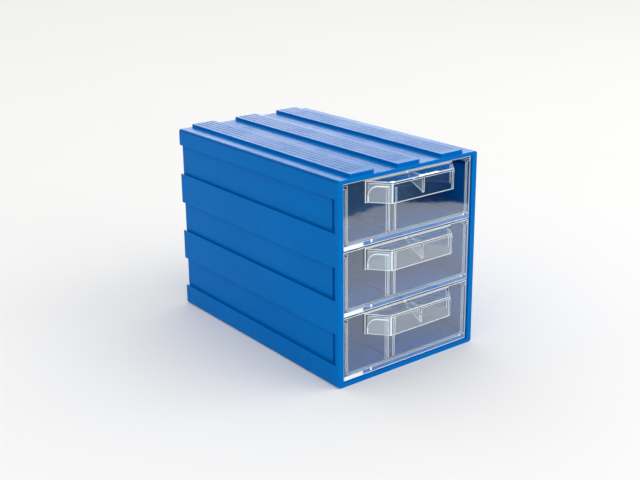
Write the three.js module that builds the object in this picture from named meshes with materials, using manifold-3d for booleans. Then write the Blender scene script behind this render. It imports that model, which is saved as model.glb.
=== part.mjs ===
// Three-drawer parts organizer: one moulded cabinet with three clear drawers that slide out at the front.
// Millimetres. X runs to the right, Y to the back and Z up. The origin is the middle of the footprint, on
// the surface that the cabinet stands on.
import * as THREE from 'three';
import { mergeVertices } from 'three/addons/utils/BufferGeometryUtils.js';
import Module from 'manifold-3d';

const wasm = await Module();
wasm.setup();

// Cabinet, the driving sizes
const CABINET_WIDTH = 140;
const CABINET_DEPTH = 220;
const CABINET_HEIGHT = 162;
const DRAWERS = ['bottom', 'middle', 'top'];
const DRAWER_PITCH = 51.8; // height from one drawer to the next
const RIM_SIDE = 5; // width of the front rim at the sides
const RIM_BOTTOM = 3.5; // height of the front rim below the drawers
const FLOOR_HEIGHT = 7.5; // top of the lowest shelf
const SHELF_THICKNESS = 3;
const BACK_THICKNESS = 2.5;
const SKIN = 2.2; // moulded wall of the cabinet's sides
const CORNER_RADIUS = 2.4;
const FILLET_STEPS = 4;

// Interlocking profile: ridges on the top and the right side fit channels in the next cabinet
const RIDGE_WIDTH = 22.5;
const RIDGE_HEIGHT = 2.5;
const RIDGE_SETBACK = 2.9; // the ridges start behind the front rim
const RIDGE_SPACING = 45.2; // between the middles of two ridges on the top
const CHANNEL_WIDTH = 26;
const CHANNEL_DEPTH = 2.8;
const CHANNEL_SETBACK = 3.8;
const LOCK_SLOT_LENGTH = 6.4; // deeper slot across the front end of each channel
const LOCK_SLOT_DEPTH = 4.2;
const CHANNEL_LOWEST = 30.5; // middle of the lowest channel in the side
const CHANNEL_PITCH = 52.2; // from one side channel to the next
const UNDERCUT_HEIGHT = 1.3; // narrow groove that runs down behind the lower edge of each side channel
const UNDERCUT_SKIN = 1; // left standing in front of it
const GROOVES_PER_RIDGE = 4; // fine lines along the top of each ridge
const GROOVE_WIDTH = 0.7;
const GROOVE_DEPTH = 0.35;

// Drawer
const FRONT_SETBACK = 1.2; // drawer front behind the front rim
const FRONT_THICKNESS = 2;
const SIDE_CLEARANCE = 0.6; // drawer front to the rim at each side
const FRONT_GAP = 1; // between two drawer fronts
const BODY_HALF_WIDTH = 61.5;
const BODY_HEIGHT = 45.2;
const BODY_REAR = 210; // rear face of the drawer when it is shut
const BODY_WALL = 1.8;
const BODY_RADIUS = 4;
const RUNNING_GAP = 0.3; // drawer floor above its shelf
const RIM_FLANGE = 2; // the drawer's top edge turned outwards
const RIM_FLANGE_THICKNESS = 1.6;
const STOP_FROM_REAR = 36; // from the drawer's rear face to the stop tabs
const STOP_LENGTH = 4;
const STOP_WIDTH = 3.4;
const STOP_HEIGHT = 2;
const CATCH_DEPTH = 2.6; // the two catches under each ceiling, behind the drawer front
const CATCH_WIDTH = 8;
const CATCH_CLEARANCE = 0.9; // drawer rim below the catches

// Handle, moulded on the drawer front
const HANDLE_REACH = 15.4; // out from the drawer front
const HANDLE_HALF_WIDTH = 43.5; // at the drawer front
const HANDLE_LIP_HALF_WIDTH = 30.6;
const HANDLE_TOP_DROP = 1.1; // below the top of the drawer front
const HANDLE_HEIGHT = 16.2;
const HANDLE_WALL = 1.7;
const RIB_HEIGHT_AT_FRONT = 5.2;
const RIB_HEIGHT_AT_LIP = 11.2;

// Divider along the drawer, held in a guide at each end
const DIVIDER_X = -16.6;
const DIVIDER_THICKNESS = 1.4;
const DIVIDER_HEIGHT = 34;
const BEAD_WIDTH = 4; // thickened end of the divider
const BEAD_LENGTH = 2.6;
const GUIDE_GAP = 0.35; // around the bead in its guide
const GUIDE_RIB = 1.3;
const GUIDE_DEPTH = 3.2;

const OVERRUN = 1; // how far a cutter runs past the face that it opens
const WELD = 0.2; // how far a joined piece sinks into its neighbour

// Sizes that follow
const halfWidth = CABINET_WIDTH / 2;
const openingHalfWidth = halfWidth - RIM_SIDE;
const frontHeight = DRAWER_PITCH - FRONT_GAP;
const frontBottomDrop = FLOOR_HEIGHT - RIM_BOTTOM - SIDE_CLEARANCE; // drawer front below its shelf's top
const openingTop = RIM_BOTTOM + SIDE_CLEARANCE * 2 + DRAWER_PITCH * DRAWERS.length - FRONT_GAP;
const frontBack = FRONT_SETBACK + FRONT_THICKNESS;
const shelfFront = frontBack + RUNNING_GAP;
const catchUnderside = BODY_HEIGHT + CATCH_CLEARANCE; // above the shelf's top
const channelHeights = DRAWERS.map((name, i) => CHANNEL_LOWEST + i * CHANNEL_PITCH);
const ridgePlaces = [-RIDGE_SPACING, 0, RIDGE_SPACING];

const shelfTop = (level) => FLOOR_HEIGHT + level * DRAWER_PITCH;
const ceiling = (level) => (level === DRAWERS.length - 1 ? openingTop : shelfTop(level + 1) - SHELF_THICKNESS);

// A closed geometry as a solid that can be joined and cut
function solid(geometry) {
  geometry.deleteAttribute('normal');
  geometry.deleteAttribute('uv');
  const merged = mergeVertices(geometry, 1e-4);
  return new wasm.Manifold(new wasm.Mesh({
    numProp: 3,
    vertProperties: new Float32Array(merged.attributes.position.array),
    triVerts: new Uint32Array(merged.index.array),
  }));
}

function block([x0, x1], [y0, y1], [z0, z1]) {
  const geometry = new THREE.BoxGeometry(x1 - x0, y1 - y0, z1 - z0);
  geometry.translate((x0 + x1) / 2, (y0 + y1) / 2, (z0 + z1) / 2);
  return solid(geometry);
}

// An outline drawn in X and Z, run along Y from y0 to y1
function alongDepth(shape, [y0, y1]) {
  const geometry = new THREE.ExtrudeGeometry(shape, {
    depth: y1 - y0,
    bevelEnabled: false,
    curveSegments: FILLET_STEPS,
  });
  geometry.rotateX(Math.PI / 2);
  geometry.translate(0, y1, 0);
  return solid(geometry);
}

// An outline drawn in X and Y, raised from z0 to z1
function upwards(shape, [z0, z1]) {
  const geometry = new THREE.ExtrudeGeometry(shape, { depth: z1 - z0, bevelEnabled: false });
  geometry.translate(0, 0, z0);
  return solid(geometry);
}

// An outline drawn in Y and Z, run along X from x0 to x1
function acrossWidth(points, [x0, x1]) {
  const shape = new THREE.Shape(points.map(([y, z]) => new THREE.Vector2(y, z)));
  const geometry = new THREE.ExtrudeGeometry(shape, { depth: x1 - x0, bevelEnabled: false });
  geometry.rotateX(Math.PI / 2);
  geometry.rotateZ(Math.PI / 2);
  geometry.translate(x0, 0, 0);
  return solid(geometry);
}

// A box outline with round corners: radius at the bottom two, topRadius at the top two
function roundedOutline([x0, x1], [z0, z1], radius, topRadius) {
  const shape = new THREE.Shape();
  shape.moveTo(x0 + radius, z0);
  shape.lineTo(x1 - radius, z0);
  shape.absarc(x1 - radius, z0 + radius, radius, -Math.PI / 2, 0, false);
  if (topRadius > 0) {
    shape.absarc(x1 - topRadius, z1 - topRadius, topRadius, 0, Math.PI / 2, false);
    shape.absarc(x0 + topRadius, z1 - topRadius, topRadius, Math.PI / 2, Math.PI, false);
  } else {
    shape.lineTo(x1, z1);
    shape.lineTo(x0, z1);
  }
  shape.absarc(x0 + radius, z0 + radius, radius, Math.PI, Math.PI * 1.5, false);
  return shape;
}

// The handle in plan, between the drawer front at yFront and its lip. It gets narrower towards the lip.
// inset draws the same outline that far inside the walls.
function handleOutline(inset, yFront) {
  const yLip = FRONT_SETBACK - HANDLE_REACH + inset;
  const slope = (HANDLE_HALF_WIDTH - HANDLE_LIP_HALF_WIDTH) / HANDLE_REACH;
  const halfAt = (y) => HANDLE_HALF_WIDTH - (FRONT_SETBACK - y) * slope - inset * Math.hypot(1, slope);
  return new THREE.Shape([
    new THREE.Vector2(-halfAt(yFront), yFront),
    new THREE.Vector2(-halfAt(yLip), yLip),
    new THREE.Vector2(halfAt(yLip), yLip),
    new THREE.Vector2(halfAt(yFront), yFront),
  ]);
}

function cabinet() {
  const outside = roundedOutline([-halfWidth, halfWidth], [0, CABINET_HEIGHT], CORNER_RADIUS, CORNER_RADIUS);
  let body = alongDepth(outside, [0, CABINET_DEPTH]);
  const ridgeLength = [RIDGE_SETBACK, CABINET_DEPTH];
  const channelLength = [CHANNEL_SETBACK, CABINET_DEPTH + OVERRUN];
  const slotLength = [CHANNEL_SETBACK, CHANNEL_SETBACK + LOCK_SLOT_LENGTH];
  const half = RIDGE_WIDTH / 2;
  const halfChannel = CHANNEL_WIDTH / 2;
  for (const x of ridgePlaces) {
    const top = CABINET_HEIGHT + RIDGE_HEIGHT;
    body = body.add(block([x - half, x + half], ridgeLength, [CABINET_HEIGHT - WELD, top]));
    const across = [x - halfChannel, x + halfChannel];
    body = body.subtract(block(across, channelLength, [-OVERRUN, CHANNEL_DEPTH]));
    body = body.subtract(block(across, slotLength, [-OVERRUN, LOCK_SLOT_DEPTH]));
    for (let i = 0; i < GROOVES_PER_RIDGE; i += 1) {
      const middle = x - half + ((i + 1) * RIDGE_WIDTH) / (GROOVES_PER_RIDGE + 1);
      const width = [middle - GROOVE_WIDTH / 2, middle + GROOVE_WIDTH / 2];
      const length = [RIDGE_SETBACK + half / 2, CABINET_DEPTH + OVERRUN];
      body = body.subtract(block(width, length, [top - GROOVE_DEPTH, top + OVERRUN]));
    }
  }
  for (const z of channelHeights) {
    const right = [halfWidth - WELD, halfWidth + RIDGE_HEIGHT];
    body = body.add(block(right, ridgeLength, [z - half, z + half]));
    const height = [z - halfChannel, z + halfChannel];
    const left = -halfWidth - OVERRUN;
    const bottomEdge = z - halfChannel;
    const undercut = [UNDERCUT_SKIN - halfWidth, CHANNEL_DEPTH - halfWidth];
    body = body.subtract(block([left, CHANNEL_DEPTH - halfWidth], channelLength, height));
    body = body.subtract(block(undercut, channelLength, [bottomEdge - UNDERCUT_HEIGHT, bottomEdge + WELD]));
    body = body.subtract(block([left, LOCK_SLOT_DEPTH - halfWidth], slotLength, height));
  }
  const opening = [-openingHalfWidth, openingHalfWidth];
  body = body.subtract(block(opening, [-OVERRUN, shelfFront], [RIM_BOTTOM, openingTop]));
  DRAWERS.forEach((name, level) => {
    const back = CABINET_DEPTH - BACK_THICKNESS;
    body = body.subtract(block(opening, [shelfFront - WELD, back], [shelfTop(level), ceiling(level)]));
    for (const side of [-1, 1]) {
      const edge = openingHalfWidth + WELD;
      const across = [side * edge, side * (openingHalfWidth - CATCH_WIDTH)].sort((a, b) => a - b);
      const catchLength = [shelfFront, shelfFront + CATCH_DEPTH];
      body = body.add(block(across, catchLength, [shelfTop(level) + catchUnderside, ceiling(level) + WELD]));
    }
  });
  return body.subtract(sideHollows());
}

// The side walls are one even skin, so each band between two channels is hollow on the inside
function sideHollows() {
  const length = [shelfFront + CATCH_DEPTH, CABINET_DEPTH - BACK_THICKNESS - SKIN];
  const outer = halfWidth - SKIN;
  const halfChannel = CHANNEL_WIDTH / 2 + SKIN;
  let hollows = null;
  DRAWERS.forEach((name, level) => {
    const channel = channelHeights[level];
    const spans = [
      [shelfTop(level), channel - halfChannel],
      [channel + halfChannel, ceiling(level) - SKIN],
    ];
    for (const span of spans) {
      for (const side of [-1, 1]) {
        const across = [side * outer, side * (openingHalfWidth - WELD)].sort((a, b) => a - b);
        const hollow = block(across, length, span);
        hollows = hollows ? hollows.add(hollow) : hollow;
      }
    }
  });
  return hollows;
}

function drawer(level) {
  const floor = shelfTop(level) + RUNNING_GAP;
  const top = shelfTop(level) + BODY_HEIGHT;
  const width = [-BODY_HALF_WIDTH, BODY_HALF_WIDTH];
  const inner = [-BODY_HALF_WIDTH + BODY_WALL, BODY_HALF_WIDTH - BODY_WALL];
  const length = [frontBack - WELD, BODY_REAR];
  let body = alongDepth(roundedOutline(width, [floor, top], BODY_RADIUS, 0), length);
  const flange = [-BODY_HALF_WIDTH - RIM_FLANGE, BODY_HALF_WIDTH + RIM_FLANGE];
  body = body.add(block(flange, length, [top - RIM_FLANGE_THICKNESS, top]));
  const hollow = roundedOutline(inner, [floor + BODY_WALL, top + OVERRUN], BODY_RADIUS - BODY_WALL, 0);
  body = body.subtract(alongDepth(hollow, [frontBack, BODY_REAR - BODY_WALL]));
  for (const side of [-1, 1]) {
    const stopEdge = side * (BODY_HALF_WIDTH + RIM_FLANGE);
    const across = [stopEdge, stopEdge - side * STOP_WIDTH].sort((a, b) => a - b);
    const stop = BODY_REAR - STOP_FROM_REAR;
    body = body.add(block(across, [stop, stop + STOP_LENGTH], [top - WELD, top + STOP_HEIGHT]));
  }
  for (const end of [frontBack, BODY_REAR - BODY_WALL]) {
    body = body.add(dividerGuide(level, end));
  }
  return body.add(drawerFront(level)).add(handle(level));
}

function drawerFront(level) {
  const bottom = shelfTop(level) - frontBottomDrop;
  const half = openingHalfWidth - SIDE_CLEARANCE;
  return block([-half, half], [FRONT_SETBACK, frontBack], [bottom, bottom + frontHeight]);
}

// A hollow pull, open underneath, with one rib in the middle between its lip and the drawer front
function handle(level) {
  const top = shelfTop(level) - frontBottomDrop + frontHeight - HANDLE_TOP_DROP;
  const bottom = top - HANDLE_HEIGHT;
  const shell = upwards(handleOutline(0, FRONT_SETBACK + WELD), [bottom, top]);
  const inside = upwards(handleOutline(HANDLE_WALL, FRONT_SETBACK), [bottom - OVERRUN, top - HANDLE_WALL]);
  const lip = FRONT_SETBACK - HANDLE_REACH + HANDLE_WALL - WELD;
  const rib = acrossWidth([
    [FRONT_SETBACK + WELD, top - HANDLE_WALL + WELD],
    [FRONT_SETBACK + WELD, top - HANDLE_WALL - RIB_HEIGHT_AT_FRONT],
    [lip, top - HANDLE_WALL - RIB_HEIGHT_AT_LIP],
    [lip, top - HANDLE_WALL + WELD],
  ], [-HANDLE_WALL / 2, HANDLE_WALL / 2]);
  return shell.subtract(inside).add(rib);
}

// Two upright ribs on an end wall of the drawer, at y, that hold one end of the divider
function dividerGuide(level, y) {
  const floor = shelfTop(level) + RUNNING_GAP + BODY_WALL;
  const inward = y === frontBack ? 1 : -1;
  const depth = [y - inward * WELD, y + inward * GUIDE_DEPTH].sort((a, b) => a - b);
  const slot = BEAD_WIDTH / 2 + GUIDE_GAP;
  const height = [floor - WELD, floor + DIVIDER_HEIGHT];
  const left = block([DIVIDER_X - slot - GUIDE_RIB, DIVIDER_X - slot], depth, height);
  return left.add(block([DIVIDER_X + slot, DIVIDER_X + slot + GUIDE_RIB], depth, height));
}

function divider(level) {
  const floor = shelfTop(level) + RUNNING_GAP + BODY_WALL + GUIDE_GAP;
  const front = frontBack + GUIDE_GAP;
  const rear = BODY_REAR - BODY_WALL - GUIDE_GAP;
  const height = [floor, floor + DIVIDER_HEIGHT];
  const thick = [DIVIDER_X - DIVIDER_THICKNESS / 2, DIVIDER_X + DIVIDER_THICKNESS / 2];
  const bead = [DIVIDER_X - BEAD_WIDTH / 2, DIVIDER_X + BEAD_WIDTH / 2];
  return block(thick, [front, rear], height)
    .add(block(bead, [front, front + BEAD_LENGTH], height))
    .add(block(bead, [rear - BEAD_LENGTH, rear], height));
}

const bluePlastic = { color: 0x0a6cc2, roughness: 0.32, metalness: 0 };
const clearPlastic = { color: 0xdfe8ee, roughness: 0.06, metalness: 0, transparent: true, opacity: 0.35 };

function part(name, body, finish) {
  const { vertProperties, triVerts } = body.getMesh();
  const geometry = new THREE.BufferGeometry();
  geometry.setAttribute('position', new THREE.BufferAttribute(new Float32Array(vertProperties), 3));
  geometry.setIndex(new THREE.BufferAttribute(new Uint32Array(triVerts), 1));
  geometry.computeVertexNormals();
  const mesh = new THREE.Mesh(geometry, new THREE.MeshStandardMaterial(finish));
  mesh.name = name;
  return mesh;
}

const organizer = new THREE.Group();
organizer.add(part('cabinet', cabinet(), bluePlastic));
DRAWERS.forEach((name, level) => {
  organizer.add(part(`drawer_${name}`, drawer(level), clearPlastic));
  organizer.add(part(`divider_${name}`, divider(level), clearPlastic));
});

// The side ridges and the handles make the outline uneven, so it is centred over the origin as a whole
const handleFront = FRONT_SETBACK - HANDLE_REACH;
organizer.position.set(-RIDGE_HEIGHT / 2, -(CABINET_DEPTH + handleFront) / 2, 0);

export default organizer;
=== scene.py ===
"""Looks of the three-drawer parts organizer: a moulded blue cabinet with three clear sliding drawers.

Shapes are built in the cabinet's own millimetres (X right, Y back from the front rim, Z up from the base)
and put in place from the CAD cabinet's box.
"""
import math

import bmesh
import bpy
from mathutils import Matrix, Vector


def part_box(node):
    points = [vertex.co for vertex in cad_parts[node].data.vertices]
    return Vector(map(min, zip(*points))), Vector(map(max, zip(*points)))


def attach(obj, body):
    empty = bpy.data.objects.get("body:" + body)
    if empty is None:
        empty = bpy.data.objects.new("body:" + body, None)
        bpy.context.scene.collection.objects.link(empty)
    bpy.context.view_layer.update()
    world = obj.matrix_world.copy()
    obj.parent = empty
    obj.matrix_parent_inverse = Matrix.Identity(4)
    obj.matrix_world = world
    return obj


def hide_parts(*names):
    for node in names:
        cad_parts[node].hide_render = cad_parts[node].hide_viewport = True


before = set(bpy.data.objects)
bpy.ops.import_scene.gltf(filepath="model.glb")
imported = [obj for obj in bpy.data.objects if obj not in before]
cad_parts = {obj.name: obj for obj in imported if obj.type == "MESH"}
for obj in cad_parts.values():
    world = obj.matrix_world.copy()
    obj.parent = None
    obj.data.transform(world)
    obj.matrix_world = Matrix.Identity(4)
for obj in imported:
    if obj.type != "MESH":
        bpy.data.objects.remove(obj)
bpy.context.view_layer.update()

# ---------------------------------------------------------------- sizes, in millimetres

MM = 0.001
HALF_WIDTH = 70
DEPTH = 220
HEIGHT = 162
LEVELS = ("bottom", "middle", "top")
PITCH = 51.8
FIRST_SHELF = 7.5
SHELF_THICKNESS = 3
OPENING_HALF = 65
OPENING_BOTTOM = 3.5
OPENING_TOP = 159.1
SHELF_FRONT = 3.5
INNER_BACK = DEPTH - 2.5
SKIN = 2.2
CORNER = 2.4
CORNER_STEPS = 8

RIDGE_HALF = 11.25
RIDGE_HEIGHT = 2.5
RIDGE_START = 2.9
RIDGE_PLACES = (-45.2, 0, 45.2)
CHANNEL_HALF = 13
CHANNEL_DEPTH = 2.8
CHANNEL_START = 3.8
SLOT_LENGTH = 6.4
SLOT_DEPTH = 4.2
SIDE_PLACES = (30.5, 82.7, 134.9)
UNDERCUT_HEIGHT = 1.3
UNDERCUT_SKIN = 1
CATCH_DEPTH = 2.6
CATCH_WIDTH = 8
CATCH_UNDERSIDE = 46.1
GAP_GROOVE_DEPTH = 2.4
GAP_GROOVE_HEIGHT = (-0.1, 1.1)

ROOF_LINE_START = 8.5
RIDGE_LINES = 4
RIDGE_LINE_HALF = 0.7
RIDGE_LINE_DEPTH = 0.8
VALLEY_PLACES = (-22.6, 22.6)
VALLEY_LINES = 3
VALLEY_LINE_PITCH = 5.4
VALLEY_LINE_HALF = 0.5
VALLEY_LINE_DEPTH = 0.4
# A roof line's walls are the faces whose normal's Z lies between these; they are painted a darker blue as
# painted shade.
ROOF_LINE_LEAN = (0.3, 0.8)

FRONT_Y = 1.2
FRONT_BACK = 3.2
FRONT_HALF = 64.4
FRONT_DROP = 3.4
FRONT_HEIGHT = 50.8
BODY_HALF = 61.5
BODY_HEIGHT = 45.2
BODY_REAR = 210
BODY_WALL = 1.8
BODY_RADIUS = 4
RUNNING_GAP = 0.3
FLANGE = 2
FLANGE_THICKNESS = 1.6
TAB_PLACE = (BODY_REAR - 36, BODY_REAR - 32)
TAB_WIDTH = 3.4
TAB_HEIGHT = 2
GUIDE_OFFSET = 2.35
GUIDE_WIDTH = 1.3
GUIDE_REACH = 3.2

HANDLE_REACH = 15.4
HANDLE_HALF = 43.5
HANDLE_LIP_HALF = 30.6
HANDLE_TOP_DROP = 1.1
HANDLE_HEIGHT = 16.2
HANDLE_WALL = 1.7
RIB_REAR_HEIGHT = 5.2
RIB_FRONT_HEIGHT = 11.2

# The web on each end wall of the handle: places along the wall are shares of its length, about 20.
WEB_PLACE = 0.10
WEB_START = 0.4
WEB_STRAIGHT = 5
WEB_BEND = 0.36
WEB_END = 0.88
WEB_TOP_DROP = 3.4
WEB_STEPS = 8
WEB_HALF = 0.55
WEB_PROUD = (-0.5, 0.55)
WALL_LENGTH = 20

# Marks on the drawer front: heights are from the shelf's top, the top pin's from the front's top.
# A pin is its place across, its height and its radius.
MARK_SINK = 0.3
MARK_PROUD = 0.3
# Painted reflection: a milky strip at the front's lower left.
REFLECTION_STRIP_ACROSS = (0.3 - FRONT_HALF, -45.6)
REFLECTION_STRIP_HEIGHT = (0.4 - FRONT_DROP, 0.1)
REFLECTION_STRIP_PROUD = 0.35
GATE_ACROSS = (-38.4, -36.6)
GATE_HEIGHT = (-1.4, 1.0)
PINS = ((57.5, 0.9, 0.9), (61.6, 1.6, 0.7))
TOP_PIN = (-3.5, -0.9, 1.0)
TOP_PIN_PROUD = 0.6
PIN_SIDES = 16
# The painted highlight line behind each front: its inset from the tray's walls and its place behind the
# front.
SEAM_HIGHLIGHT_INSET = 0.4
SEAM_HIGHLIGHT_PLACE = (FRONT_BACK + 0.1, FRONT_BACK + 0.8)

DIVIDER_X = -16.6
DIVIDER_HEIGHT = 34
DIVIDER_HALF = 0.7
DIVIDER_GAP = 0.35
BEAD_HALF = 2
BEAD_LENGTH = 2.6

CABINET_ROUNDING = 0.3
DRAWER_ROUNDING = 0.35
DIVIDER_ROUNDING = 0.3
MARK_ROUNDING = 0.15

# Solids run WELD into each other. Points nearer than DOUBLED are one, faces within FLAT are one, and edges
# beyond SHARP are rounded. A face looks sideways where its normal's X is over SIDEWAYS.
WELD = 0.2
DOUBLED = 0.003
FLAT = math.radians(0.5)
SHARP = math.radians(40)
SIDEWAYS = 0.9

cabinet_low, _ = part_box("cabinet")
cabinet_middle = Vector((cabinet_low.x + HALF_WIDTH * MM, cabinet_low.y, cabinet_low.z))
local_to_frame = Matrix.Translation(cabinet_middle) @ Matrix.Scale(MM, 4)


def shelf_top(level):
    return FIRST_SHELF + level * PITCH


def ceiling(level):
    if level == len(LEVELS) - 1:
        return OPENING_TOP
    return shelf_top(level + 1) - SHELF_THICKNESS


def front_top(level):
    return shelf_top(level) - FRONT_DROP + FRONT_HEIGHT


# ---------------------------------------------------------------- mesh building

def place(axis, a, b, along):
    """A point from two outline coordinates and a place along an axis, or where a function puts it."""
    if callable(axis):
        return axis(a, b, along)
    if axis == "X":
        return (along, a, b)
    if axis == "Y":
        return (a, along, b)
    return (a, b, along)


def run(outline, axis, span):
    """A closed solid: an outline run along an axis over a span."""
    bm = bmesh.new()
    ends = [[bm.verts.new(place(axis, a, b, along)) for a, b in outline] for along in span]
    bm.faces.new(ends[0])
    bm.faces.new(ends[1])
    count = len(outline)
    for i in range(count):
        j = (i + 1) % count
        bm.faces.new((ends[0][i], ends[0][j], ends[1][j], ends[1][i]))
    bmesh.ops.recalc_face_normals(bm, faces=bm.faces)
    return as_object(bm)


def block(x, y, z):
    x, y, z = sorted(x), sorted(y), sorted(z)
    return run([(x[0], y[0]), (x[1], y[0]), (x[1], y[1]), (x[0], y[1])], "Z", z)


def as_object(bm, name="solid"):
    mesh = bpy.data.meshes.new(name)
    bm.to_mesh(mesh)
    bm.free()
    obj = bpy.data.objects.new(name, mesh)
    bpy.context.scene.collection.objects.link(obj)
    return obj


def rounded(x, z, lower, upper):
    """A box outline with round corners: lower radius at the bottom two, upper radius at the top two."""
    points = []
    for cx, cz, radius, start in (
        (x[1], z[0], lower, -90), (x[1], z[1], upper, 0), (x[0], z[1], upper, 90), (x[0], z[0], lower, 180),
    ):
        if radius == 0:
            points.append((cx, cz))
            continue
        mx = cx - radius if cx == x[1] else cx + radius
        mz = cz - radius if cz == z[1] else cz + radius
        for i in range(CORNER_STEPS + 1):
            angle = math.radians(start + 90 * i / CORNER_STEPS)
            points.append((mx + radius * math.cos(angle), mz + radius * math.sin(angle)))
    return points


def bake(obj):
    """Applies the object's modifiers."""
    graph = bpy.context.evaluated_depsgraph_get()
    mesh = bpy.data.meshes.new_from_object(
        obj.evaluated_get(graph), preserve_all_data_layers=True, depsgraph=graph)
    obj.modifiers.clear()
    obj.data = mesh


def combine(base, steps):
    """Joins and cuts in order: each step is "add" or "cut" with the solids it works with."""
    tools = []
    for what, solids in steps:
        for tool in solids:
            modifier = base.modifiers.new(what, "BOOLEAN")
            modifier.operation = "UNION" if what == "add" else "DIFFERENCE"
            modifier.solver = "MANIFOLD"
            modifier.object = tool
            tools.append(tool)
    bake(base)
    for tool in tools:
        bpy.data.objects.remove(tool)


def clean(obj):
    """Merges doubled points and flat neighbouring faces."""
    bm = bmesh.new()
    bm.from_mesh(obj.data)
    bmesh.ops.remove_doubles(bm, verts=bm.verts, dist=DOUBLED)
    bmesh.ops.dissolve_limit(bm, angle_limit=FLAT, verts=bm.verts, edges=bm.edges)
    bm.to_mesh(obj.data)
    bm.free()


def paint(obj, *materials):
    """Gives the piece its material slots; its faces start in the first."""
    obj.data.materials.clear()
    for material in materials:
        obj.data.materials.append(material)


def soften(obj, width, segments):
    """Rounds the sharp edges; the rounded faces take the second material slot."""
    modifier = obj.modifiers.new("Bevel", "BEVEL")
    modifier.width = width
    modifier.segments = segments
    modifier.limit_method = "ANGLE"
    modifier.angle_limit = SHARP
    modifier.use_clamp_overlap = False
    modifier.material = 1
    modifier.miter_outer = "MITER_SHARP"
    bake(obj)


def finish_mesh(obj, name):
    """Names the piece, gives it even shading and puts it in place."""
    obj.data.shade_smooth()
    modifier = obj.modifiers.new("Normals", "WEIGHTED_NORMAL")
    modifier.keep_sharp = True
    modifier.weight = 60
    bake(obj)
    obj.data.transform(local_to_frame)
    obj.name = name
    obj.data.name = name


# ---------------------------------------------------------------- materials

class Tree:
    """Shorthand for building a material's nodes."""

    def __init__(self, name):
        self.material = bpy.data.materials.new(name)
        self.material.use_nodes = True
        self.nodes = self.material.node_tree.nodes
        self.links = self.material.node_tree.links
        self.shader = self.nodes["Principled BSDF"]
        self.output = self.nodes["Material Output"]
        self.coordinates = self.nodes.new("ShaderNodeTexCoord").outputs["Object"]

    def set(self, **values):
        for key, value in values.items():
            self.shader.inputs[key.replace("_", " ")].default_value = value

    def noise(self, scale, detail=3, roughness=0.5, stretch=None, seed=0.0):
        mapping = self.nodes.new("ShaderNodeMapping")
        mapping.inputs["Location"].default_value = (seed, seed * 0.7, seed * 1.3)
        if stretch:
            mapping.inputs["Scale"].default_value = stretch
        self.links.new(self.coordinates, mapping.inputs["Vector"])
        node = self.nodes.new("ShaderNodeTexNoise")
        node.inputs["Scale"].default_value = scale
        node.inputs["Detail"].default_value = detail
        node.inputs["Roughness"].default_value = roughness
        self.links.new(mapping.outputs[0], node.inputs["Vector"])
        return node.outputs["Fac"]

    def spread(self, value, low, high, out_low, out_high):
        """Maps a value from one range to another, held inside it."""
        node = self.nodes.new("ShaderNodeMapRange")
        limits = {"From Min": low, "From Max": high, "To Min": out_low, "To Max": out_high}
        for key, number in limits.items():
            node.inputs[key].default_value = number
        self.links.new(value, node.inputs["Value"])
        return node.outputs["Result"]

    def mix(self, factor, a, b):
        node = self.nodes.new("ShaderNodeMix")
        node.data_type = "RGBA"
        self.links.new(factor, node.inputs["Factor"])
        for socket, value in ((node.inputs["A"], a), (node.inputs["B"], b)):
            if isinstance(value, tuple):
                socket.default_value = (*value, 1)
            else:
                self.links.new(value, socket)
        return node.outputs["Result"]

    def bump(self, height, strength, distance, normal=None):
        node = self.nodes.new("ShaderNodeBump")
        node.inputs["Strength"].default_value = strength
        node.inputs["Distance"].default_value = distance
        self.links.new(height, node.inputs["Height"])
        if normal is not None:
            self.links.new(normal, node.inputs["Normal"])
        return node.outputs["Normal"]

    def feed(self, key, socket):
        self.links.new(socket, self.shader.inputs[key])


def blue_plastic(name, base, deep, light, rough, wear):
    """Polypropylene: slow colour drift, fine grain, and scuffs that wear makes stronger."""
    t = Tree(name)
    drift = t.spread(t.noise(14, 4, 0.55), 0.35, 0.65, 0, 1)
    colour = t.mix(drift, deep, base)
    scuff = t.spread(t.noise(55, 6, 0.7, stretch=(1, 0.35, 1), seed=3.1), 0.60, 0.80, 0, 0.22 + wear)
    colour = t.mix(scuff, colour, light)
    t.feed("Base Color", colour)
    t.feed("Roughness", t.spread(t.noise(38, 5, 0.6, seed=7.7), 0.3, 0.7, rough[0], rough[1]))
    grain = t.bump(t.noise(1700, 2, 0.5), 0.10, 0.00005)
    t.feed("Normal", t.bump(t.noise(26, 1, 0.4, seed=1.9), 0.06, 0.001, grain))
    t.set(IOR=1.11, Specular_Tint=(0.0, 0.35, 0.9, 1), Specular_IOR_Level=0.5)
    return t.material


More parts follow.
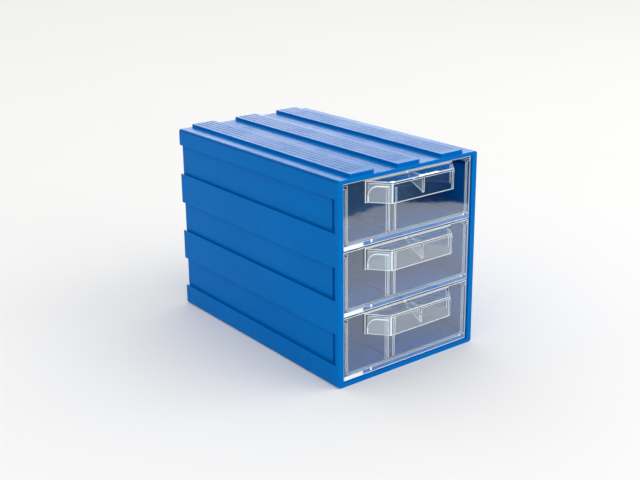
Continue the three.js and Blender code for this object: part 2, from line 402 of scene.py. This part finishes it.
def clear_plastic(name, tint, rough, transmission, lamp_tint, coat=1.0, ior=1.65):
    """Clear, a little wavy polystyrene with fine rub marks; light reaches what lies behind it."""
    t = Tree(name)
    cloud = t.spread(t.noise(30, 4, 0.6, seed=2.3), 0.3, 0.7, 0, 1)
    t.feed("Base Color", t.mix(cloud, tint, tuple(min(1, c * 1.05) for c in tint)))
    rub = t.noise(240, 6, 0.75, stretch=(1, 1, 0.2), seed=5.2)
    t.feed("Roughness", t.spread(rub, 0.45, 0.8, rough[0], rough[1]))
    t.feed("Normal", t.bump(t.noise(45, 2, 0.5, seed=4.4), 0.10, 0.0006))
    t.set(IOR=ior, Transmission_Weight=transmission, Coat_Weight=coat, Coat_Roughness=0.04, Coat_IOR=1.5)
    t.set(Specular_Tint=(0.82, 0.93, 1.0, 1))
    rays = t.nodes.new("ShaderNodeLightPath")
    lamps = t.nodes.new("ShaderNodeMath")
    lamps.operation = "MAXIMUM"
    t.links.new(rays.outputs["Is Shadow Ray"], lamps.inputs[0])
    t.links.new(rays.outputs["Is Diffuse Ray"], lamps.inputs[1])
    through = t.nodes.new("ShaderNodeBsdfTransparent")
    through.inputs["Color"].default_value = (*lamp_tint, 1)
    choice = t.nodes.new("ShaderNodeMixShader")
    t.links.new(lamps.outputs[0], choice.inputs["Fac"])
    t.links.new(t.shader.outputs[0], choice.inputs[1])
    t.links.new(through.outputs[0], choice.inputs[2])
    t.links.new(choice.outputs[0], t.output.inputs["Surface"])
    return t.material


BLUE = (0.0, 0.146, 0.485)
BLUE_DEEP = (0.0, 0.136, 0.46)
BLUE_LIGHT = (0.0, 0.18, 0.55)
# The rounded edges' lighter blue is a painted edge highlight; their stronger scuffs are wear.
EDGE_HIGHLIGHT_BLUE = (0.0, 0.155, 0.52)
EDGE_HIGHLIGHT_AND_SCUFF_BLUE = (0.02, 0.24, 0.66)
# Painted shade: a darker blue for the walls of the fine roof lines.
GROOVE_SHADE_BLUE = (0.0, 0.085, 0.32)
GROOVE_SHADE_BLUE_DEEP = (0.0, 0.075, 0.29)

blue_face = blue_plastic("blue_plastic", BLUE, BLUE_DEEP, BLUE_LIGHT, rough=(0.20, 0.30), wear=0.0)
# Rounded cabinet edges: a painted highlight in a lighter blue, with stronger scuffs for wear.
blue_edge_highlight = blue_plastic(
    "blue_plastic_edge_highlight", EDGE_HIGHLIGHT_BLUE, BLUE, EDGE_HIGHLIGHT_AND_SCUFF_BLUE, rough=(0.26, 0.40), wear=0.4)
blue_groove_shade = blue_plastic(
    "blue_plastic_groove_shade", GROOVE_SHADE_BLUE, GROOVE_SHADE_BLUE_DEEP, BLUE, rough=(0.30, 0.42), wear=0.0)
clear_face = clear_plastic(
    "clear_plastic", tint=(0.93, 0.97, 1.0), rough=(0.02, 0.08), transmission=1.0,
    lamp_tint=(0.95, 0.97, 0.98))
clear_tray = clear_plastic(
    "clear_plastic_tray", tint=(0.95, 0.98, 1.0), rough=(0.03, 0.10), transmission=1.0,
    lamp_tint=(0.96, 0.98, 1.0), coat=0.0, ior=1.30)
# Painted highlight: mostly white and diffuse, so the drawers' rounded edges and marks show as bright lines.
clear_edge_highlight = clear_plastic(
    "clear_plastic_edge_highlight", tint=(0.88, 0.945, 1.0), rough=(0.08, 0.20), transmission=0.15,
    lamp_tint=(0.88, 0.92, 0.98))
# Painted highlight: milky, so the handle's end walls and rib look pale.
clear_ends_highlight = clear_plastic(
    "clear_plastic_ends_highlight", tint=(0.86, 0.93, 1.0), rough=(0.04, 0.12), transmission=0.90,
    lamp_tint=(0.92, 0.96, 1.0))
# Painted highlight: a milky blue-white for the strip buried behind each drawer front, seen as a bright
# line.
clear_seam_highlight = clear_plastic(
    "clear_plastic_seam_highlight", tint=(0.72, 0.84, 1.0), rough=(0.10, 0.25), transmission=0.72,
    lamp_tint=(0.88, 0.92, 0.98), coat=0.0)


# ---------------------------------------------------------------- cabinet

def ridges_and_channels():
    """Ridges on the roof and the right side, and the channels below and on the left that match them."""
    rear = DEPTH + 1
    outside = -HALF_WIDTH - 1
    channel_inside = CHANNEL_DEPTH - HALF_WIDTH
    slot_end = CHANNEL_START + SLOT_LENGTH
    ridges, cuts = [], []
    for x in RIDGE_PLACES:
        across = (x - RIDGE_HALF, x + RIDGE_HALF)
        ridges.append(block(across, (RIDGE_START, DEPTH), (HEIGHT - WELD, HEIGHT + RIDGE_HEIGHT)))
        across = (x - CHANNEL_HALF, x + CHANNEL_HALF)
        cuts.append(block(across, (CHANNEL_START, rear), (-1, CHANNEL_DEPTH)))
        cuts.append(block(across, (CHANNEL_START, slot_end), (-1, SLOT_DEPTH)))
    for z in SIDE_PLACES:
        height = (z - RIDGE_HALF, z + RIDGE_HALF)
        ridges.append(block((HALF_WIDTH - WELD, HALF_WIDTH + RIDGE_HEIGHT), (RIDGE_START, DEPTH), height))
        low = z - CHANNEL_HALF
        height = (low, z + CHANNEL_HALF)
        undercut = (low - UNDERCUT_HEIGHT, low + WELD)
        cuts.append(block((outside, channel_inside), (CHANNEL_START, rear), height))
        cuts.append(block((UNDERCUT_SKIN - HALF_WIDTH, channel_inside), (CHANNEL_START, rear), undercut))
        cuts.append(block((outside, SLOT_DEPTH - HALF_WIDTH), (CHANNEL_START, slot_end), height))
    return ridges, cuts


def openings():
    """The front opening, the bays behind it and a shadow groove behind the gap above each drawer front."""
    across = (-OPENING_HALF, OPENING_HALF)
    cuts = [block(across, (-1, SHELF_FRONT), (OPENING_BOTTOM, OPENING_TOP))]
    for level in range(len(LEVELS)):
        cuts.append(block(across, (SHELF_FRONT - WELD, INNER_BACK), (shelf_top(level), ceiling(level))))
    for level in range(len(LEVELS)):
        low, high = (front_top(level) + offset for offset in GAP_GROOVE_HEIGHT)
        deep = (SHELF_FRONT - 1, SHELF_FRONT + GAP_GROOVE_DEPTH)
        cuts.append(block(across, deep, (low, min(high, OPENING_TOP))))
    return cuts


def catches():
    """The two stops that hang in each bay's upper front corners."""
    solids = []
    for level in range(len(LEVELS)):
        height = (shelf_top(level) + CATCH_UNDERSIDE, ceiling(level) + WELD)
        for side in (-1, 1):
            across = (side * (OPENING_HALF + WELD), side * (OPENING_HALF - CATCH_WIDTH))
            solids.append(block(across, (SHELF_FRONT, SHELF_FRONT + CATCH_DEPTH), height))
    return solids


def wall_hollows():
    """The hollows in the side walls of each bay, below and above the channel's height."""
    solids = []
    reach = CHANNEL_HALF + SKIN
    deep = (SHELF_FRONT + CATCH_DEPTH, INNER_BACK - SKIN)
    for level, z in enumerate(SIDE_PLACES):
        for height in ((shelf_top(level), z - reach), (z + reach, ceiling(level) - SKIN)):
            for side in (-1, 1):
                across = (side * (HALF_WIDTH - SKIN), side * (OPENING_HALF - WELD))
                solids.append(block(across, deep, height))
    return solids


def roof_line(middle, top, half, depth):
    outline = [(middle - half, top + WELD), (middle, top - depth), (middle + half, top + WELD)]
    return run(outline, "Y", (ROOF_LINE_START, DEPTH + 1))


def roof_lines():
    """The fine grooves along each roof ridge and along the two valleys between them."""
    lines = []
    for x in RIDGE_PLACES:
        for i in range(RIDGE_LINES):
            middle = x - RIDGE_HALF + (i + 1) * RIDGE_HALF * 2 / (RIDGE_LINES + 1)
            lines.append(roof_line(middle, HEIGHT + RIDGE_HEIGHT, RIDGE_LINE_HALF, RIDGE_LINE_DEPTH))
    for x in VALLEY_PLACES:
        for i in range(VALLEY_LINES):
            middle = x + (i - VALLEY_LINES // 2) * VALLEY_LINE_PITCH
            lines.append(roof_line(middle, HEIGHT, VALLEY_LINE_HALF, VALLEY_LINE_DEPTH))
    return lines


def make_cabinet():
    """The moulding: a block with ridges, channels and bays, rounded before the fine roof lines are cut."""
    body = run(rounded((-HALF_WIDTH, HALF_WIDTH), (0, HEIGHT), CORNER, CORNER), "Y", (0, DEPTH))
    ridges, channels = ridges_and_channels()
    cuts = channels + openings()
    combine(body, [("add", ridges), ("cut", cuts), ("add", catches()), ("cut", wall_hollows())])
    clean(body)
    paint(body, blue_face, blue_edge_highlight, blue_groove_shade)
    soften(body, CABINET_ROUNDING, 3)
    combine(body, [("cut", roof_lines())])
    # The roof lines' walls take the third slot, the darker blue of painted shade.
    least, most = ROOF_LINE_LEAN
    for polygon in body.data.polygons:
        if polygon.material_index == 0 and least < polygon.normal.z < most:
            polygon.material_index = 2
    finish_mesh(body, "cabinet_moulding")
    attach(body, "cabinet")
    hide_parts("cabinet")


# ---------------------------------------------------------------- drawers

def handle_plan(inset, y_front):
    """The handle's outline from above, drawn inset inside its walls."""
    y_lip = FRONT_Y - HANDLE_REACH + inset
    slope = (HANDLE_HALF - HANDLE_LIP_HALF) / HANDLE_REACH

    def half(y):
        return HANDLE_HALF - (FRONT_Y - y) * slope - inset * math.hypot(1, slope)

    right_side = [(half(y_lip), y_lip), (half(y_front), y_front)]
    return [(-x, y) for x, y in reversed(right_side)] + right_side


def end_wall(side):
    """Points on one end wall of the handle: share of the way out, height, and how proud of the wall."""
    length = math.hypot(HANDLE_HALF - HANDLE_LIP_HALF, HANDLE_REACH)
    inwards = (HANDLE_HALF - HANDLE_LIP_HALF) / length
    outwards = HANDLE_REACH / length

    def at(share, z, proud):
        s = share * length
        x = HANDLE_HALF - inwards * s + outwards * proud
        return (side * x, FRONT_Y - outwards * s - inwards * proud, z)

    return at


def web(side, bottom, top):
    """The curved web on an end wall of the handle: up beside the front, then round and along the top."""
    bend, crown = bottom + WEB_STRAIGHT, top - WEB_TOP_DROP
    middle = [(WEB_PLACE, bottom + WEB_START), (WEB_PLACE, bend)]
    for i in range(1, WEB_STEPS + 1):
        angle = math.radians(90 * i / WEB_STEPS)
        s = WEB_PLACE + WEB_BEND * (1 - math.cos(angle))
        middle.append((s, bend + (crown - bend) * math.sin(angle)))
    middle.append((WEB_END, crown))
    outer, inner = [], []
    for i, (s, z) in enumerate(middle):
        a = Vector(middle[max(i - 1, 0)])
        b = Vector(middle[min(i + 1, len(middle) - 1)])
        turn = Vector(((a.y - b.y) / WALL_LENGTH, (b.x - a.x) * WALL_LENGTH)).normalized() * WEB_HALF
        outer.append((s + turn.x / WALL_LENGTH, z + turn.y))
        inner.append((s - turn.x / WALL_LENGTH, z - turn.y))
    return run(outer + inner[::-1], end_wall(side), WEB_PROUD)


def pin(x, z, radius, y):
    turns = [math.tau * i / PIN_SIDES for i in range(PIN_SIDES)]
    return run([(x + radius * math.cos(turn), z + radius * math.sin(turn)) for turn in turns], "Y", y)


def make_marks(level):
    """The webs on the handle's ends, a painted reflection strip at the front's lower left, and small gate
    and pin marks, all in the white painted edge highlight.
    """
    name = LEVELS[level]
    base = shelf_top(level)
    sunk = FRONT_Y + MARK_SINK
    # The first mark is the painted reflection strip; all marks take the painted edge highlight.
    marks = block(REFLECTION_STRIP_ACROSS, (FRONT_Y - REFLECTION_STRIP_PROUD, sunk), [base + z for z in REFLECTION_STRIP_HEIGHT])
    others = [block(GATE_ACROSS, (FRONT_Y - MARK_PROUD, sunk), [base + z for z in GATE_HEIGHT])]
    others.extend(pin(x, base + z, radius, (FRONT_Y - MARK_PROUD, sunk)) for x, z, radius in PINS)
    x, z, radius = TOP_PIN
    others.append(pin(x, front_top(level) + z, radius, (FRONT_Y - TOP_PIN_PROUD, sunk)))
    handle_top = front_top(level) - HANDLE_TOP_DROP
    others.extend(web(side, handle_top - HANDLE_HEIGHT, handle_top) for side in (-1, 1))
    combine(marks, [("add", others)])
    clean(marks)
    paint(marks, clear_edge_highlight, clear_edge_highlight)
    soften(marks, MARK_ROUNDING, 2)
    finish_mesh(marks, f"drawer_{name}_marks_and_highlights")
    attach(marks, f"drawer_{name}")


def make_seam_highlight(level):
    """A painted highlight: a milky line behind a drawer front where the tray's walls run into it."""
    name = LEVELS[level]
    base = shelf_top(level)
    floor = base + RUNNING_GAP
    top = base + BODY_HEIGHT - FLANGE_THICKNESS - SEAM_HIGHLIGHT_INSET
    outer, inner = BODY_HALF - SEAM_HIGHLIGHT_INSET, BODY_HALF - BODY_WALL + SEAM_HIGHLIGHT_INSET
    outer_radius, inner_radius = BODY_RADIUS - SEAM_HIGHLIGHT_INSET, BODY_RADIUS - BODY_WALL + SEAM_HIGHLIGHT_INSET
    seam_highlight = run(rounded((-outer, outer), (floor + SEAM_HIGHLIGHT_INSET, top), outer_radius, 0), "Y", SEAM_HIGHLIGHT_PLACE)
    hole_outline = rounded((-inner, inner), (floor + BODY_WALL - SEAM_HIGHLIGHT_INSET, top + 1), inner_radius, 0)
    hole = run(hole_outline, "Y", (SEAM_HIGHLIGHT_PLACE[0] - 1, SEAM_HIGHLIGHT_PLACE[1] + 1))
    combine(seam_highlight, [("cut", [hole])])
    clean(seam_highlight)
    paint(seam_highlight, clear_seam_highlight)
    finish_mesh(seam_highlight, f"drawer_{name}_wall_seam_highlight")
    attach(seam_highlight, f"drawer_{name}")


def tabs_and_guides(floor, top):
    """The stop tabs near the tray's rear, and the guides that hold the divider at both ends."""
    solids = []
    for side in (-1, 1):
        edge = side * (BODY_HALF + FLANGE)
        solids.append(block((edge, edge - side * TAB_WIDTH), TAB_PLACE, (top - WELD, top + TAB_HEIGHT)))
        x = DIVIDER_X + side * GUIDE_OFFSET
        height = (floor + BODY_WALL - WELD, floor + BODY_WALL + DIVIDER_HEIGHT)
        for y, inward in ((FRONT_BACK, 1), (BODY_REAR - BODY_WALL, -1)):
            along = (y - inward * WELD, y + inward * GUIDE_REACH)
            solids.append(block((x, x + side * GUIDE_WIDTH), along, height))
    return solids


def handle(top):
    """The hooded handle under its top edge, with the rib that stands in its middle."""
    bottom = top - HANDLE_HEIGHT
    under = top - HANDLE_WALL
    shell = run(handle_plan(0, FRONT_Y + WELD), "Z", (bottom, top))
    inside = run(handle_plan(HANDLE_WALL, FRONT_Y), "Z", (bottom - 1, under))
    rear = FRONT_Y + WELD
    lip = FRONT_Y - HANDLE_REACH + HANDLE_WALL - WELD
    side_view = [
        (rear, under + WELD), (rear, under - RIB_REAR_HEIGHT),
        (lip, under - RIB_FRONT_HEIGHT), (lip, under + WELD),
    ]
    rib = run(side_view, "X", (-HANDLE_WALL / 2, HANDLE_WALL / 2))
    combine(shell, [("cut", [inside])])
    return [shell, rib]


def make_drawer(level):
    """The moulding: a tray with a flange along its top, the front that covers the bay, and the handle."""
    name = LEVELS[level]
    base = shelf_top(level)
    floor = base + RUNNING_GAP
    top = base + BODY_HEIGHT
    inner = BODY_HALF - BODY_WALL
    along = (FRONT_BACK - WELD, BODY_REAR)
    body = run(rounded((-BODY_HALF, BODY_HALF), (floor, top), BODY_RADIUS, 0), "Y", along)
    flange = block((-BODY_HALF - FLANGE, BODY_HALF + FLANGE), along, (top - FLANGE_THICKNESS, top))
    hollow_outline = rounded((-inner, inner), (floor + BODY_WALL, top + 1), BODY_RADIUS - BODY_WALL, 0)
    hollow = run(hollow_outline, "Y", (FRONT_BACK, BODY_REAR - BODY_WALL))
    extras = tabs_and_guides(floor, top)
    height = (base - FRONT_DROP, front_top(level))
    extras.append(block((-FRONT_HALF, FRONT_HALF), (FRONT_Y, FRONT_BACK), height))
    extras.extend(handle(front_top(level) - HANDLE_TOP_DROP))
    combine(body, [("add", [flange]), ("cut", [hollow]), ("add", extras)])
    clean(body)
    # The rounded edges take the second slot, the white painted edge highlight.
    paint(body, clear_face, clear_edge_highlight, clear_tray, clear_ends_highlight)
    for polygon in body.data.polygons:
        if polygon.center.y > FRONT_BACK + WELD:
            polygon.material_index = 2
        elif polygon.center.y < FRONT_Y - WELD:
            # The handle's end walls and the rib take the fourth slot, the milky painted highlight.
            on_end_wall = HANDLE_LIP_HALF < abs(polygon.center.x) < HANDLE_HALF
            if on_end_wall or abs(polygon.normal.x) > SIDEWAYS:
                polygon.material_index = 3
    soften(body, DRAWER_ROUNDING, 2)
    finish_mesh(body, f"drawer_{name}_moulding")
    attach(body, f"drawer_{name}")
    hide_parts(f"drawer_{name}")


def make_divider(level):
    """The upright panel that parts a tray lengthwise, with a bead at each end."""
    name = LEVELS[level]
    floor = shelf_top(level) + RUNNING_GAP + BODY_WALL + DIVIDER_GAP
    front, rear = FRONT_BACK + DIVIDER_GAP, BODY_REAR - BODY_WALL - DIVIDER_GAP
    height = (floor, floor + DIVIDER_HEIGHT)
    panel = block((DIVIDER_X - DIVIDER_HALF, DIVIDER_X + DIVIDER_HALF), (front, rear), height)
    across = (DIVIDER_X - BEAD_HALF, DIVIDER_X + BEAD_HALF)
    spans = ((front, front + BEAD_LENGTH), (rear - BEAD_LENGTH, rear))
    combine(panel, [("add", [block(across, span, height) for span in spans])])
    clean(panel)
    paint(panel, clear_tray, clear_tray)
    soften(panel, DIVIDER_ROUNDING, 2)
    finish_mesh(panel, f"divider_{name}_panel")
    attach(panel, f"drawer_{name}")
    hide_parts(f"divider_{name}")


make_cabinet()
for each in range(len(LEVELS)):
    make_drawer(each)
    make_marks(each)
    make_seam_highlight(each)
    make_divider(each)

# ---------------------------------------------------------------- floor, light and camera

FLOOR_HALF = 30
FLOOR_GREYS = ((0.85, 0.85, 0.85), (0.87, 0.87, 0.87))
CARD_LINE = ((0.05, -0.40), (0.19, -0.42), (0.28, -0.435), (0.34, -0.38), (0.42, -0.28))
CARD_HEIGHTS = (0.001, 0.08)
CARD_FADE = (0.25, 0.33)
CARD_BLUES = ((0.13, 0.25, 0.42), (0.15, 0.28, 0.46))
CARD_BLACK = (0.0, 0.004, 0.012)


def make_floor():
    """A wide pale floor with no gloss."""
    bm = bmesh.new()
    bmesh.ops.create_grid(bm, x_segments=1, y_segments=1, size=FLOOR_HALF)
    floor = as_object(bm, "studio_floor")
    t = Tree("studio_floor")
    t.feed("Base Color", t.mix(t.noise(3, 2), *FLOOR_GREYS))
    t.set(Roughness=0.6, Specular_IOR_Level=0.0)
    floor.data.materials.append(t.material)


def panel_light(name, size, radiance, location, target):
    """A soft white panel of even radiance, facing its target and unseen by the camera."""
    data = bpy.data.lights.new(name, "AREA")
    data.shape = "RECTANGLE"
    data.size, data.size_y = size
    data.energy = radiance * math.pi * size[0] * size[1]
    light = bpy.data.objects.new(name, data)
    bpy.context.scene.collection.objects.link(light)
    light.location = location
    light.rotation_euler = (Vector(target) - Vector(location)).to_track_quat("-Z", "Y").to_euler()
    light.visible_camera = False
    return light


def make_card():
    """A card that reflections and clear plastic show: blue-grey on the left, fading to black."""
    bm = bmesh.new()
    low, high = ([bm.verts.new((x, y, z)) for x, y in CARD_LINE] for z in CARD_HEIGHTS)
    for i in range(len(CARD_LINE) - 1):
        bm.faces.new((low[i], low[i + 1], high[i + 1], high[i]))
    card = as_object(bm, "black_card")
    t = Tree("black_card")
    parts = t.nodes.new("ShaderNodeSeparateXYZ")
    t.links.new(t.coordinates, parts.inputs[0])
    fade = t.spread(parts.outputs["X"], *CARD_FADE, 0, 1)
    t.feed("Base Color", t.mix(fade, t.mix(t.noise(8, 2), *CARD_BLUES), CARD_BLACK))
    t.set(Roughness=0.9, Specular_IOR_Level=0.0)
    card.data.materials.append(t.material)
    for hidden in ("visible_camera", "visible_diffuse", "visible_shadow"):
        setattr(card, hidden, False)


make_floor()
make_card()
panel_light("key_panel", size=(1.6, 1.6), radiance=1.6, location=(1.7, -1.3, 2.0), target=(0, 0, 0.05))
panel_light("front_panel", size=(2.4, 1.2), radiance=2.1, location=(0.9, -3.0, 0.9), target=(0, 0, 0.08))
back_panel = panel_light(
    "back_panel", size=(3.2, 1.0), radiance=3.1, location=(1.4, 2.0, 0.95), target=(0, 0, 0.1))
back_panel.visible_diffuse = False

world = bpy.data.worlds.new("studio")
bpy.context.scene.world = world
world.use_nodes = True
world.node_tree.nodes["Background"].inputs["Color"].default_value = (1.0, 0.995, 0.985, 1)
world.node_tree.nodes["Background"].inputs["Strength"].default_value = 1.0

CAMERA_PLACE = (-0.5104, -0.6488, 0.3595)
YAW = math.radians(36.33)
TILT = math.radians(16.73)
ROLL = math.radians(-0.97)
SENSOR_WIDTH = 36
LENS = 58.044375

forward = Vector((math.sin(YAW) * math.cos(TILT), math.cos(YAW) * math.cos(TILT), -math.sin(TILT)))
level_right = Vector((math.cos(YAW), -math.sin(YAW), 0))
level_up = level_right.cross(forward)
right = level_right * math.cos(ROLL) + level_up * math.sin(ROLL)
up = level_up * math.cos(ROLL) - level_right * math.sin(ROLL)
camera_data = bpy.data.cameras.new("camera")
camera_data.sensor_width = SENSOR_WIDTH
camera_data.lens = LENS
camera_data.shift_x = 0.039
camera_data.shift_y = -0.0625
camera_data.clip_start, camera_data.clip_end = 0.01, 100
camera = bpy.data.objects.new("camera", camera_data)
bpy.context.scene.collection.objects.link(camera)
turn = Matrix((right, up, -forward)).transposed().to_4x4()
camera.matrix_world = Matrix.Translation(CAMERA_PLACE) @ turn
bpy.context.scene.camera = camera

scene = bpy.context.scene
scene.view_settings.view_transform = "Standard"
scene.view_settings.look = "None"
scene.cycles.max_bounces = 24
scene.cycles.diffuse_bounces = 8
scene.cycles.transmission_bounces = 24
scene.cycles.transparent_max_bounces = 48
